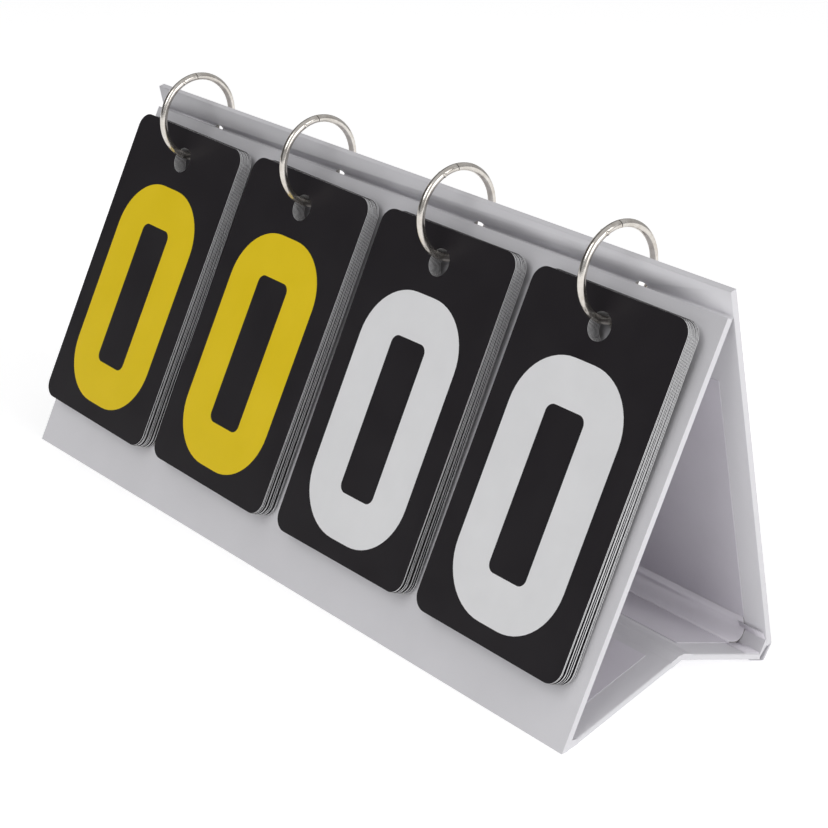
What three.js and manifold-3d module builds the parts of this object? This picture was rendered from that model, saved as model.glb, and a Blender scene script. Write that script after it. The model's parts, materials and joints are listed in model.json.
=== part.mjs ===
// Four-digit flip scoring board: a folding tent stand of wrapped greyboard panels
// carrying four sets of digit cards on hinged loose-leaf rings.
// Units millimetres, +Z up, +X along the length, the cards face -Y.
import * as THREE from 'three';
import { mergeVertices } from 'three/addons/utils/BufferGeometryUtils.js';
import Module from 'manifold-3d';

// ---- driving dimensions ----
const LENGTH = 300;            // stand length along X
const HALF_DEPTH = 46;         // shift that centres the footprint on Y
const FRONT_LEAN = 26.5;       // front panel leans back from upright, degrees
const REAR_LEAN = 12.1;        // rear panel leans forward from upright, degrees
const BOARD = 2.15;            // wrapped board thickness without its liner
const LINER = 0.2;             // paper liner thickness
const SKIN_GAP = 0.05;         // glue line between board and liner
const PANEL = BOARD + SKIN_GAP + LINER;
const HINGE_GAP = 0.2;         // distance from a fold axis to the panel face beside it

const FRONT_HEIGHT = 138.3;    // front panel, foot to crease
const RIDGE = 9.4;             // rear panel standing above the crease
const REAR_DROP = 120.6;       // rear panel, crease to its lower end
const BASE_RISE = 13.8;        // height of the folded-up middle of the base
const BASE_MID = 50.2;         // depth of that middle fold behind the front foot
const BASE_FOLD_GAP = 7;       // opened middle fold between the two base boards
const BASE_END = 1;            // base boards stop this far from their fold axes
const FOLD_AXIS_Z = 2.9;       // height of the two bottom fold axes
const REAR_AXIS_Y = 88.5;      // rear bottom fold axis behind the front foot
const LINER_INSET = 9;         // liner stops this far inside the panel ends
const LINER_SETBACK = 3;       // liner stops this far from the folds
const LINER_TOP = 24;          // and this far below the crease, clear of the ring holes

const SETS = 4;
const SET_PITCH = 75.2;
const SET_SHIFT = [0.2, -0.4, -0.9, -0.9]; // each set sits a little off its even place
const CARDS = 10;              // digits 0 to 9
const CARD_W = 67.1;
const CARD_H = 115.8;
const CARD_T = 0.42;
const CARD_CORNER = 5.5;
const CORNER_STEPS = 4;        // facets of a card's rounded corner
const HOLE_STEPS = 18;         // facets of its hole
const HOLE_R = 4.7;
const HOLE_TO_TOP = 11.4;
const FRONT_AT_HOLE = 8.45;    // first card's mid-plane off the panel, at the hole
const FRONT_AT_FOOT = 7.15;    // and at its lower edge
const PITCH_AT_HOLE = 0.55;    // card spacing at the hole
const PITCH_AT_FOOT = 0.73;    // card spacing at the lower edge, the stack fans out
const SET_TURN = [-1.0, -0.9, 0.05, -0.25]; // how each set hangs in its own plane, degrees
const CARD_SCATTER = 0.16;     // small alternating turn between cards of a set, degrees
const SCATTER_STEP = 2.4;      // phase between one card's turn and the next, radians

const RING_R = 15.3;           // ring centreline radius
const WIRE_R = 1.35;
const RING_V = 140;            // ring centre, measured up the front panel face
const RING_N = 6.9;            // ring centre, in front of that face
const RING_SIDE = -2.2;        // the ring sits to the left in the card hole
const HANG = 2.1;              // hole centre below the wire centreline
const HINGE_ANGLE = 50.6;      // riveted hinge of the ring, degrees from the top toward the front
const LAP_R = 6;               // tongue length around the rivet
const CATCH_R = 1.9;           // tongue length at the catch
const LAP_GAP = 0.3;
const SEAM = 0.1;              // half the clearance between the lapped tongues
const PIN_R = 0.5;
const PIN_HOLE_R = 0.75;
const PIN_HEAD_IN = 1.15;      // pin reach through the far tongue
const PIN_ROOT = 0.6;          // pin root inside its own tongue
const RING_SIDES = 8;
const RING_STEPS = 44;
const LAP_STEPS = 24;          // facets of the rounded tongue ends
const PIN_STEPS = 10;
const EYE_STEPS = 12;          // facets of the rivet's eye
const FAR = 3 * RING_R;        // size of the tools that halve a ring
const LAP_REACH = 3 * WIRE_R;  // and of those that halve its wire

const PANEL_HOLE_R = 4;        // ring hole through the front panel
const PANEL_HOLE_SIDE = -1.0;
const PANEL_HOLE_DROP = 0.5;
const SLOT_R = 4.5;            // rounded slot through the rear panel
const SLOT_SIDE = 0.4;
const SLOT_ABOVE = 1.5;        // slot reach above the crease
const SLOT_BELOW = 16.5;       // slot reach below the crease
const ROUND = 20;              // facets of a round hole
const GUSSET_T = 0.9;          // narrow strip closing the rear bottom corner
const CUT = 10;                // reach of cutting tools past the part
const WELD = 1e-5;             // vertices closer than this are one

// ---- frames ----
const rad = THREE.MathUtils.degToRad;
const SF = Math.sin(rad(FRONT_LEAN)), CF = Math.cos(rad(FRONT_LEAN));
const SR = Math.sin(rad(REAR_LEAN)), CR = Math.cos(rad(REAR_LEAN));
// a point on the front panel: v up its face, n outward from it
const onFront = (v, n) => [v * SF - n * CF - HALF_DEPTH, v * CF + n * SF];
const CREASE = onFront(FRONT_HEIGHT, -PANEL - HINGE_GAP);
// a point on the rear panel: w down from the crease, m backward from its front face
const onRear = (w, m) => [
  CREASE[0] + w * SR + (m + HINGE_GAP) * CR,
  CREASE[1] - w * CR + (m + HINGE_GAP) * SR,
];

const wasm = await Module();
wasm.setup();

function solid(geometry) {
  const g = geometry.clone();
  g.deleteAttribute('normal');
  g.deleteAttribute('uv');
  const m = mergeVertices(g, WELD);
  return new wasm.Manifold(new wasm.Mesh({
    numProp: 3,
    vertProperties: new Float32Array(m.attributes.position.array),
    triVerts: new Uint32Array(m.index.array),
  }));
}

function geometryOf(manifold) {
  const mesh = manifold.getMesh();
  const g = new THREE.BufferGeometry();
  g.setAttribute('position', new THREE.BufferAttribute(new Float32Array(mesh.vertProperties), 3));
  g.setIndex(new THREE.BufferAttribute(new Uint32Array(mesh.triVerts), 1));
  g.computeVertexNormals();
  return g;
}

// a side profile of [y, z] corners run along X
function alongX(profile, x0, x1) {
  const shape = new THREE.Shape(profile.map(([y, z]) => new THREE.Vector2(y, z)));
  const g = new THREE.ExtrudeGeometry(shape, { depth: x1 - x0, bevelEnabled: false });
  const basis = new THREE.Matrix4().makeBasis(
    new THREE.Vector3(0, 1, 0), new THREE.Vector3(0, 0, 1), new THREE.Vector3(1, 0, 0));
  g.applyMatrix4(basis);
  g.translate(x0, 0, 0);
  return g;
}

// a cylinder along X centred at [y, z]
function pinX(radius, x0, x1, [y, z], facets = ROUND) {
  const g = new THREE.CylinderGeometry(radius, radius, x1 - x0, facets);
  g.rotateZ(Math.PI / 2);
  g.translate((x0 + x1) / 2, y, z);
  return g;
}

// a cylinder or rounded slot through a panel, its axis along dir in the YZ plane
function through(radius, x, [y, z], dir) {
  const g = new THREE.CylinderGeometry(radius, radius, CUT, ROUND);
  const q = new THREE.Quaternion().setFromUnitVectors(
    new THREE.Vector3(0, 1, 0), new THREE.Vector3(0, dir[0], dir[1]).normalize());
  g.applyQuaternion(q);
  g.translate(x, y, z);
  return g;
}

// ---- materials ----
const colours = {
  cover: new THREE.MeshStandardMaterial({ color: 0xe2e1e3, roughness: 0.72, metalness: 0 }),
  liner: new THREE.MeshStandardMaterial({ color: 0xd9d7dc, roughness: 0.85, metalness: 0 }),
  card: new THREE.MeshStandardMaterial({ color: 0x26242a, roughness: 0.42, metalness: 0 }),
  nickel: new THREE.MeshStandardMaterial({ color: 0xd8d4ce, roughness: 0.2, metalness: 1 }),
};

const board = new THREE.Group();
board.name = 'scoring_board';
function add(name, geometry, material) {
  const mesh = new THREE.Mesh(geometry, colours[material].clone());
  mesh.name = name;
  board.add(mesh);
}

// ---- set positions ----
const setX = (s) => (s - (SETS - 1) / 2) * SET_PITCH + SET_SHIFT[s];
const ringX = (s) => setX(s) + RING_SIDE;
const wireV = (n) => RING_V - Math.sqrt(RING_R ** 2 - (n - RING_N) ** 2);
const ringCentre = onFront(RING_V, RING_N);

// ---- panels ----
const X0 = -LENGTH / 2, X1 = LENGTH / 2;
// rise of the front panel's level foot at a depth behind its face
const mitreAt = (depth) => depth * SF / CF;
function frontPanel() {
  const profile = [
    onFront(0, 0), onFront(mitreAt(BOARD), -BOARD),
    onFront(FRONT_HEIGHT, -BOARD), onFront(FRONT_HEIGHT, 0),
  ];
  let body = solid(alongX(profile, X0, X1));
  const depth = -BOARD / 2;
  for (let s = 0; s < SETS; s++) {
    const centre = onFront(wireV(depth) - PANEL_HOLE_DROP, depth);
    body = body.subtract(solid(through(PANEL_HOLE_R, ringX(s) - PANEL_HOLE_SIDE, centre, [-CF, SF])));
  }
  return geometryOf(body);
}

function rearPanel() {
  const profile = [
    onRear(-RIDGE, LINER + SKIN_GAP), onRear(-RIDGE, PANEL),
    onRear(REAR_DROP, PANEL), onRear(REAR_DROP, LINER + SKIN_GAP),
  ];
  let body = solid(alongX(profile, X0, X1));
  for (let s = 0; s < SETS; s++) {
    const x = setX(s) + SLOT_SIDE;
    const top = through(SLOT_R, x, onRear(SLOT_R - SLOT_ABOVE, PANEL / 2), [CR, SR]);
    const foot = through(SLOT_R, x, onRear(SLOT_BELOW - SLOT_R, PANEL / 2), [CR, SR]);
    const run = alongX([
      onRear(SLOT_R - SLOT_ABOVE, -CUT / 2), onRear(SLOT_R - SLOT_ABOVE, CUT / 2),
      onRear(SLOT_BELOW - SLOT_R, CUT / 2), onRear(SLOT_BELOW - SLOT_R, -CUT / 2),
    ], x - SLOT_R, x + SLOT_R);
    body = body.subtract(solid(top)).subtract(solid(foot)).subtract(solid(run));
  }
  return geometryOf(body);
}

add('front_panel', frontPanel(), 'cover');
add('rear_panel', rearPanel(), 'cover');

// narrow strip that closes the rear bottom corner, carried by the rear panel
const gussetTop = onRear(REAR_DROP + LAP_GAP, PANEL);
const gussetFoot = [REAR_AXIS_Y + LAP_GAP - HALF_DEPTH, 0];
add('rear_corner_strip', alongX([
  gussetTop, onRear(REAR_DROP + LAP_GAP, PANEL - GUSSET_T),
  [gussetFoot[0] - GUSSET_T, 0], gussetFoot,
], X0, X1), 'cover');

// base boards: they rise from the two bottom fold axes to the middle fold
const frontAxis = onFront((FOLD_AXIS_Z + (PANEL + HINGE_GAP) * SF) / CF, -PANEL - HINGE_GAP);
const rearAxis = [REAR_AXIS_Y - HALF_DEPTH, FOLD_AXIS_Z];
const middle = [BASE_MID - HALF_DEPTH, BASE_RISE];
function baseFrame(axis) {
  const dy = middle[0] - axis[0], dz = middle[1] - axis[1];
  const off = PANEL + HINGE_GAP, reach = Math.hypot(dy, dz);
  const side = Math.sign(dy);
  const angle = Math.atan2(dz, dy * side) + Math.asin(off / reach);
  const u = [Math.cos(angle) * side, Math.sin(angle)];
  const d = [Math.sin(angle) * side, -Math.cos(angle)];
  const run = Math.sqrt(reach ** 2 - off ** 2);
  // s along the board from its axis, t downward from its upper face
  return {
    run,
    at: (s, t) => [axis[0] + u[0] * s + d[0] * (t + HINGE_GAP), axis[1] + u[1] * s + d[1] * (t + HINGE_GAP)],
  };
}
for (const [name, axis] of [['front', frontAxis], ['rear', rearAxis]]) {
  const f = baseFrame(axis);
  const end = f.run - BASE_FOLD_GAP / 2;
  add(`base_${name}_panel`, alongX([
    f.at(BASE_END, LINER + SKIN_GAP), f.at(BASE_END, PANEL), f.at(end, PANEL), f.at(end, LINER + SKIN_GAP),
  ], X0, X1), 'cover');
  add(`base_${name}_liner`, alongX([
    f.at(BASE_END + LINER_SETBACK, 0), f.at(BASE_END + LINER_SETBACK, LINER),
    f.at(end - LINER_SETBACK, LINER), f.at(end - LINER_SETBACK, 0),
  ], X0 + LINER_INSET, X1 - LINER_INSET), 'liner');
}

// liners on the inner faces of the two upright panels, clear of the ring holes
const linerFoot = mitreAt(PANEL) + LINER_SETBACK + FOLD_AXIS_Z;
add('front_liner', alongX([
  onFront(linerFoot, -BOARD - SKIN_GAP),
  onFront(linerFoot, -PANEL),
  onFront(FRONT_HEIGHT - LINER_TOP, -PANEL),
  onFront(FRONT_HEIGHT - LINER_TOP, -BOARD - SKIN_GAP),
], X0 + LINER_INSET, X1 - LINER_INSET), 'liner');
add('rear_liner', alongX([
  onRear(LINER_TOP, 0), onRear(LINER_TOP, LINER),
  onRear(REAR_DROP - LINER_SETBACK, LINER), onRear(REAR_DROP - LINER_SETBACK, 0),
], X0 + LINER_INSET, X1 - LINER_INSET), 'liner');

// ---- cards ----
function arc(cx, cy, r, from, to, steps) {
  return Array.from({ length: steps + 1 }, (_, i) => {
    const a = rad(from + (to - from) * i / steps);
    return new THREE.Vector2(cx + r * Math.cos(a), cy + r * Math.sin(a));
  });
}
// a rounded card with its hole centre at the origin, hanging down -Y
function cardBlank() {
  const x = CARD_W / 2 - CARD_CORNER;
  const top = HOLE_TO_TOP - CARD_CORNER, foot = HOLE_TO_TOP - CARD_H + CARD_CORNER;
  const shape = new THREE.Shape([
    ...arc(x, foot, CARD_CORNER, -90, 0, CORNER_STEPS),
    ...arc(x, top, CARD_CORNER, 0, 90, CORNER_STEPS),
    ...arc(-x, top, CARD_CORNER, 90, 180, CORNER_STEPS),
    ...arc(-x, foot, CARD_CORNER, 180, 270, CORNER_STEPS),
  ]);
  shape.holes.push(new THREE.Path(arc(0, 0, HOLE_R, 360, 0, HOLE_STEPS).slice(1)));
  const g = new THREE.ExtrudeGeometry(shape, { depth: CARD_T, bevelEnabled: false });
  g.translate(0, 0, -CARD_T / 2);
  return g;
}
const blank = cardBlank();
const FOOT_REACH = CARD_H - HOLE_TO_TOP;
const frontBasis = new THREE.Matrix4().makeBasis(
  new THREE.Vector3(1, 0, 0), new THREE.Vector3(0, SF, CF), new THREE.Vector3(0, -CF, SF));
for (let s = 0; s < SETS; s++) {
  for (let k = 0; k < CARDS; k++) {
    const nHole = FRONT_AT_HOLE - k * PITCH_AT_HOLE;
    const nFoot = FRONT_AT_FOOT - k * PITCH_AT_FOOT;
    const tilt = Math.asin((nHole - nFoot) / FOOT_REACH);
    const turn = rad(SET_TURN[s] + CARD_SCATTER * Math.sin(SCATTER_STEP * k + s));
    const g = blank.clone();
    g.rotateZ(turn);
    g.rotateX(tilt);
    g.applyMatrix4(frontBasis);
    const [y, z] = onFront(wireV(nHole) - HANG, nHole);
    g.translate(setX(s), y, z);
    add(`set${s + 1}_card_${k}`, g, 'card');
  }
}

// ---- rings: two half rings lapped and riveted at the hinge, lapped at the catch ----
const polar = (deg) => [Math.cos(rad(deg)), Math.sin(rad(deg))];
const ringPoint = (deg, radius) => {
  const [v, n] = polar(deg);
  return onFront(RING_V + radius * v, RING_N + radius * n);
};
function halfPlane(x, side) {
  // a box on one side of the hinge-to-catch diameter
  const [v, n] = polar(HINGE_ANGLE);
  const at = (a, b) => onFront(RING_V + a * v - b * n * side, RING_N + a * n + b * v * side);
  const corners = [at(-FAR, LAP_GAP / 2), at(FAR, LAP_GAP / 2), at(FAR, FAR), at(-FAR, FAR)];
  return solid(alongX(side > 0 ? corners : corners.reverse(), x - CUT, x + CUT));
}
for (let s = 0; s < SETS; s++) {
  const x = ringX(s);
  const torus = new THREE.TorusGeometry(RING_R, WIRE_R, RING_SIDES, RING_STEPS);
  torus.rotateY(Math.PI / 2);
  torus.translate(x, ringCentre[0], ringCentre[1]);
  const wire = solid(torus);
  const hinge = ringPoint(HINGE_ANGLE, RING_R);
  const snap = ringPoint(HINGE_ANGLE + 180, RING_R);
  // the front half keeps the +X tongue, the rear half the -X tongue
  const build = (side, xSign) => {
    const near = [x + xSign * SEAM, x + xSign * LAP_REACH].sort((a, b) => a - b);
    const away = [x + xSign * SEAM, x - xSign * LAP_REACH].sort((a, b) => a - b);
    let half = wire.intersect(halfPlane(x, side));
    for (const [centre, lap] of [[hinge, LAP_R], [snap, CATCH_R]]) {
      half = half.subtract(solid(pinX(lap + LAP_GAP, away[0], away[1], centre, LAP_STEPS)));
      half = half.add(wire.intersect(solid(pinX(lap, near[0], near[1], centre, LAP_STEPS))));
    }
    return half;
  };
  const pin = solid(pinX(PIN_R, x - PIN_HEAD_IN, x + PIN_ROOT, hinge, PIN_STEPS));
  const eye = solid(pinX(PIN_HOLE_R, x - LAP_REACH, x, hinge, EYE_STEPS));
  add(`ring${s + 1}_front_half`, geometryOf(build(1, 1).add(pin)), 'nickel');
  add(`ring${s + 1}_rear_half`, geometryOf(build(-1, -1).subtract(eye)), 'nickel');
}

export default board;
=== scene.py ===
"""Looks for a four-set flip scoring board: wrapped panels, digit cards and riveted rings.

Run as a script in Blender 4.5. Units are metres, +Z up, and the cards face -Y.
"""

import json
import math

import bmesh
import bpy
import numpy as np
from mathutils import Matrix, Vector
from mathutils.geometry import intersect_line_line_2d, tessellate_polygon


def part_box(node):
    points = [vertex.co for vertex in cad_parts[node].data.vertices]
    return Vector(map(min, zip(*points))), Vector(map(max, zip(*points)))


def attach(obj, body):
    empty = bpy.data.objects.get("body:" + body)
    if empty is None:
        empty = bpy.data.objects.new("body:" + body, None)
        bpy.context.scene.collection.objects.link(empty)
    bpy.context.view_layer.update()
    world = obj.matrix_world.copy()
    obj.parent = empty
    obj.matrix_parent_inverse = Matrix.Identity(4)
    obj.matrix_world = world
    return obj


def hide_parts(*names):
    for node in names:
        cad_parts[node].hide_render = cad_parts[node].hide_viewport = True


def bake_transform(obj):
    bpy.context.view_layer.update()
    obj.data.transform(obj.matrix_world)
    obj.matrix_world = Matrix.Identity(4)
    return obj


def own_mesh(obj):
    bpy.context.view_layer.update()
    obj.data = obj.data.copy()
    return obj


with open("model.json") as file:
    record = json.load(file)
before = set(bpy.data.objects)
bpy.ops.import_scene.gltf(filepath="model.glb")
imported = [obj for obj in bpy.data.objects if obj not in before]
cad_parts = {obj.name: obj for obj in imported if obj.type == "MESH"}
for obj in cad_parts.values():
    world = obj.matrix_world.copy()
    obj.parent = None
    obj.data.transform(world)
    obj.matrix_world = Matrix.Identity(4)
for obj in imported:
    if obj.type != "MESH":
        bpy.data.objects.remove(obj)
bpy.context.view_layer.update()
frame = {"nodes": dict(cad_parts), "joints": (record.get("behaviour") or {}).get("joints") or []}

bl_info = {
    "name": "Flip Scoring Board",
    "version": (1, 0, 0),
    "blender": (4, 5, 0),
    "location": "View3D > Sidebar > Scoring Board",
    "description": "Builds the panels, paper folds, digit cards and rings of a flip scoring board",
    "category": "Object",
}

MM = 0.001
WELD = 1e-6
SETS = 4
CARDS = 10
YELLOW_SETS = 2          # the left sets are printed in yellow, the rest in white
LINER_INSET = 9 * MM     # the liner stops this far inside the panel ends
HOLE_WALL_AREA = 30 * MM * MM  # faces of the punched holes are smaller than this
SLOT_RADIUS = 4.5 * MM   # rounded top of a rear slot
SLOT_DROP = 3.0 * MM     # its centre below the crease
SLOT_SIDE = 2.6 * MM     # and to the right of its ring
SINK = 0.3 * MM          # a fold's fill reaches this far into the panel beside it
HAIR = 0.05 * MM         # and stands this much off a board's faces, so that none coincide
END_GAP = 0.1 * MM       # a fill stops this far inside the panel ends
FLAP_ROOT = 1.2 * MM     # a flap of the middle fold starts this far inside its board
HALF_SLIT = 0.03 * MM    # half the slit between the two flaps


# ---- places read from the frame ----
def joint_at(name):
    """The point on a joint's axis, in metres."""
    joint = next(j for j in frame["joints"] if j["name"] == name)
    return Vector(joint["pos_m"])


class Plate:
    """The flat frame of a board or card: x along its width, v up it, n out of its face."""

    def __init__(self, node, facing=(0, -1, 0)):
        mesh = frame["nodes"][node].data
        faces = sorted(mesh.polygons, key=lambda p: -p.area)
        n = faces[0].normal.copy()
        if n.dot(Vector(facing)) < 0:
            n.negate()
        side = next(p.normal for p in faces if abs(p.normal.x) > 0.9 and abs(p.normal.dot(n)) < 0.1)
        x = side if side.x > 0 else -side
        self.basis = Matrix((x, n.cross(x), n)).transposed()
        local = np.array([self.basis.transposed() @ v.co for v in mesh.vertices])
        self.low, self.high = Vector(local.min(0)), Vector(local.max(0))

    def at(self, x, v, n):
        """A point given in the plate's own frame, as a point of the object."""
        return self.basis @ Vector((x, v, n))

    def yz(self, v, n):
        """A point of the plate's side profile, as y and z."""
        p = self.at(0, v, n)
        return Vector((p.y, p.z))

    def local(self, point):
        """A point of the object, given in the plate's own frame."""
        return self.basis.transposed() @ Vector(point)


# ---- outlines ----
def fillet(corners, closed=True, step=12):
    """Rounds an outline of (x, y, radius) corners with arcs of about step degrees a facet."""
    pts = [Vector(c[:2]) for c in corners]
    out = []
    for i, (corner, p) in enumerate(zip(corners, pts)):
        radius = corner[2] if len(corner) > 2 else 0
        open_end = not closed and i in (0, len(pts) - 1)
        if radius <= 0 or open_end:
            out.append(p)
            continue
        a = (pts[i - 1] - p).normalized()
        b = (pts[(i + 1) % len(pts)] - p).normalized()
        half = math.acos(max(-1, min(1, a.dot(b)))) / 2
        centre = p + (a + b).normalized() * (radius / math.sin(half))
        start = p + a * (radius / math.tan(half)) - centre
        end = p + b * (radius / math.tan(half)) - centre
        turn = start.angle_signed(end)
        steps = max(2, round(abs(math.degrees(turn)) / step))
        for k in range(steps + 1):
            out.append(centre + Matrix.Rotation(-turn * k / steps, 2) @ start)
    return out


def circle(radius, steps, reverse=False):
    """Points round a circle about the origin."""
    turn = -2 * math.pi if reverse else 2 * math.pi
    return [Vector((radius * math.cos(turn * i / steps), radius * math.sin(turn * i / steps)))
            for i in range(steps)]


def thickened(path, thickness):
    """The closed outline of a strip laid along a path of 2D points."""
    left, right = [], []
    for i, p in enumerate(path):
        along = (path[min(i + 1, len(path) - 1)] - path[max(i - 1, 0)]).normalized()
        across = Vector((-along.y, along.x)) * thickness / 2
        left.append(p + across)
        right.append(p - across)
    return left + right[::-1]


def rounded_corner(line_a, line_b, radius):
    """A path from the far end of one 2D line to the far end of another, rounded where they meet."""
    (a_far, a_near), (b_near, b_far) = line_a, line_b
    reach_a = a_near + (a_near - a_far) * 50
    reach_b = b_near + (b_near - b_far) * 50
    meet = intersect_line_line_2d(a_far, reach_a, b_far, reach_b)
    return fillet([(*a_far, 0), (*meet, radius), (*b_far, 0)], closed=False, step=10)


# ---- meshes ----
def link(name, mesh):
    """A new object in the scene for a mesh."""
    obj = bpy.data.objects.new(name, mesh)
    bpy.context.collection.objects.link(obj)
    return obj


def object_from(name, bm, materials):
    """A new object for a finished bmesh, which is freed."""
    mesh = bpy.data.meshes.new(name)
    bm.to_mesh(mesh)
    bm.free()
    for material in materials:
        mesh.materials.append(material)
    return link(name, mesh)


def made_plain(obj):
    """Turns the object with its modifiers into a plain mesh."""
    graph = bpy.context.evaluated_depsgraph_get()
    mesh = bpy.data.meshes.new_from_object(obj.evaluated_get(graph), depsgraph=graph)
    obj.modifiers.clear()
    old = obj.data
    obj.data = mesh
    mesh.name = obj.name
    if old.users == 0:
        bpy.data.meshes.remove(old)


def prism(bm, outline, x0, x1):
    """Adds a closed bar along X with a side outline of y and z points."""
    near, far = ([bm.verts.new((x, *p)) for p in outline] for x in (x0, x1))
    bm.faces.new(near)
    bm.faces.new(far[::-1])
    for i in range(len(outline)):
        j = (i + 1) % len(outline)
        bm.faces.new((near[i], far[i], far[j], near[j]))


def bar(name, outlines, x0, x1, kind):
    """A new object of closed bars along X, with its faces turned outwards."""
    bm = bmesh.new()
    for outline in outlines:
        prism(bm, outline, x0, x1)
    bmesh.ops.recalc_face_normals(bm, faces=bm.faces)
    return object_from(name, bm, [material(kind)])


def layered(bm, loops_at, levels, slot=0, smooth_walls=True):
    """Adds a closed flat plate whose outline loops follow levels of (height, inset)."""
    across = bm.verts.layers.float.get("across") or bm.verts.layers.float.new("across")
    top = max(abs(z) for z, _ in levels)
    stack = []
    for z, inset in levels:
        rows = []
        for loop in loops_at(inset):
            row = [bm.verts.new((p.x, p.y, z)) for p in loop]
            for v in row:
                v[across] = z / top
            rows.append(row)
        stack.append(rows)
    made = []
    for below, above in zip(stack, stack[1:]):
        for a, b in zip(below, above):
            for i in range(len(a)):
                j = (i + 1) % len(a)
                wall = bm.faces.new((a[i], a[j], b[j], b[i]))
                wall.smooth = smooth_walls
                made.append(wall)
    for rows in (stack[0], stack[-1]):
        flat = [v for row in rows for v in row]
        for tri in tessellate_polygon([[v.co for v in row] for row in rows]):
            made.append(bm.faces.new([flat[i] for i in tri]))
    for face in made:
        face.material_index = slot


def boolean(obj, tool, operation):
    """Cuts, joins or keeps what two meshes share, and removes the tool."""
    change = obj.modifiers.new(operation.lower(), "BOOLEAN")
    change.operation = operation
    change.solver = "EXACT"
    change.object = tool
    made_plain(obj)
    bpy.data.objects.remove(tool)


def placed(obj, body, slot, *nodes):
    """Lets a piece move with its body and stand for its nodes."""
    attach(obj, body)
    if nodes:
        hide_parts(*nodes)


def bending(obj):
    """Bakes a piece of paper's placement into its mesh."""
    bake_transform(obj)


# ---- shared surface effects ----
def new_group(name, inputs, outputs):
    """An empty shader group with number sockets, and its input and output nodes."""
    group = bpy.data.node_groups.new(name, "ShaderNodeTree")
    for label, value in inputs.items():
        socket = group.interface.new_socket(label, in_out="INPUT", socket_type="NodeSocketFloat")
        socket.default_value = value
    for label in outputs:
        group.interface.new_socket(label, in_out="OUTPUT", socket_type="NodeSocketFloat")
    return group, group.nodes.new("NodeGroupInput"), group.nodes.new("NodeGroupOutput")


def soft_marks():
    """Broad uneven patches, as left by handling and by glue under the paper."""
    group, given, out = new_group("Soft marks", {"Scale": 20.0, "Detail": 4.0}, ["Mask"])
    nodes, links = group.nodes, group.links
    place = nodes.new("ShaderNodeTexCoord")
    noise = nodes.new("ShaderNodeTexNoise")
    noise.inputs["Roughness"].default_value = 0.55
    spread = nodes.new("ShaderNodeMapRange")
    spread.inputs["From Min"].default_value = 0.3
    spread.inputs["From Max"].default_value = 0.7
    links.new(place.outputs["Object"], noise.inputs["Vector"])
    links.new(given.outputs["Scale"], noise.inputs["Scale"])
    links.new(given.outputs["Detail"], noise.inputs["Detail"])
    links.new(noise.outputs["Fac"], spread.inputs["Value"])
    links.new(spread.outputs["Result"], out.inputs["Mask"])
    return group


def pebble_grain():
    """Small closed cells with a finer roughness over them, as pressed into covering paper."""
    group, given, out = new_group("Pebble grain", {"Scale": 900.0, "Fine": 0.4}, ["Height"])
    nodes, links = group.nodes, group.links
    place = nodes.new("ShaderNodeTexCoord")
    cells = nodes.new("ShaderNodeTexVoronoi")
    cells.feature = "SMOOTH_F1"
    cells.inputs["Smoothness"].default_value = 0.8
    noise = nodes.new("ShaderNodeTexNoise")
    noise.inputs["Detail"].default_value = 5.0
    finer = nodes.new("ShaderNodeMath")
    finer.operation = "MULTIPLY"
    finer.inputs[1].default_value = 2.7
    share = nodes.new("ShaderNodeMath")
    share.operation = "MULTIPLY"
    total = nodes.new("ShaderNodeMath")
    links.new(place.outputs["Object"], cells.inputs["Vector"])
    links.new(place.outputs["Object"], noise.inputs["Vector"])
    links.new(given.outputs["Scale"], cells.inputs["Scale"])
    links.new(given.outputs["Scale"], finer.inputs[0])
    links.new(finer.outputs[0], noise.inputs["Scale"])
    links.new(noise.outputs["Fac"], share.inputs[0])
    links.new(given.outputs["Fine"], share.inputs[1])
    links.new(cells.outputs["Distance"], total.inputs[0])
    links.new(share.outputs[0], total.inputs[1])
    links.new(total.outputs[0], out.inputs["Height"])
    return group


GROUPS = {}


def group_node(nodes, make, **values):
    """Places a shared effect in a material with its own values."""
    if make not in GROUPS:
        GROUPS[make] = make()
    node = nodes.new("ShaderNodeGroup")
    node.node_tree = GROUPS[make]
    for label, value in values.items():
        node.inputs[label].default_value = value
    return node


class Finish:
    """A Principled material that is wired up step by step."""

    def __init__(self, name, roughness, metallic=0.0):
        self.material = bpy.data.materials.new(name)
        self.material.use_nodes = True
        tree = self.material.node_tree
        self.nodes, self.links = tree.nodes, tree.links
        self.shader = self.nodes["Principled BSDF"]
        self.shader.inputs["Roughness"].default_value = roughness
        self.shader.inputs["Metallic"].default_value = metallic

    def blend(self, mask, dark, light):
        """Colours the surface from dark to light by a mask."""
        mix = self.nodes.new("ShaderNodeMix")
        mix.data_type = "RGBA"
        mix.inputs["A"].default_value = (*dark, 1)
        mix.inputs["B"].default_value = (*light, 1)
        self.links.new(mask, mix.inputs["Factor"])
        self.links.new(mix.outputs["Result"], self.shader.inputs["Base Color"])

    def roughness(self, mask, low, high):
        """Makes the surface smoother or duller by a mask."""
        spread = self.nodes.new("ShaderNodeMapRange")
        spread.inputs["To Min"].default_value = low
        spread.inputs["To Max"].default_value = high
        self.links.new(mask, spread.inputs["Value"])
        self.links.new(spread.outputs["Result"], self.shader.inputs["Roughness"])

    def bump(self, height, distance, strength):
        """Raises the surface by a height of up to a distance."""
        node = self.nodes.new("ShaderNodeBump")
        node.inputs["Strength"].default_value = strength
        node.inputs["Distance"].default_value = distance
        self.links.new(height, node.inputs["Height"])
        self.links.new(node.outputs["Normal"], self.shader.inputs["Normal"])


def shade(colour, factor):
    """The colour made darker by a factor."""
    return tuple(c * factor for c in tuple(colour)[:3])


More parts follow.
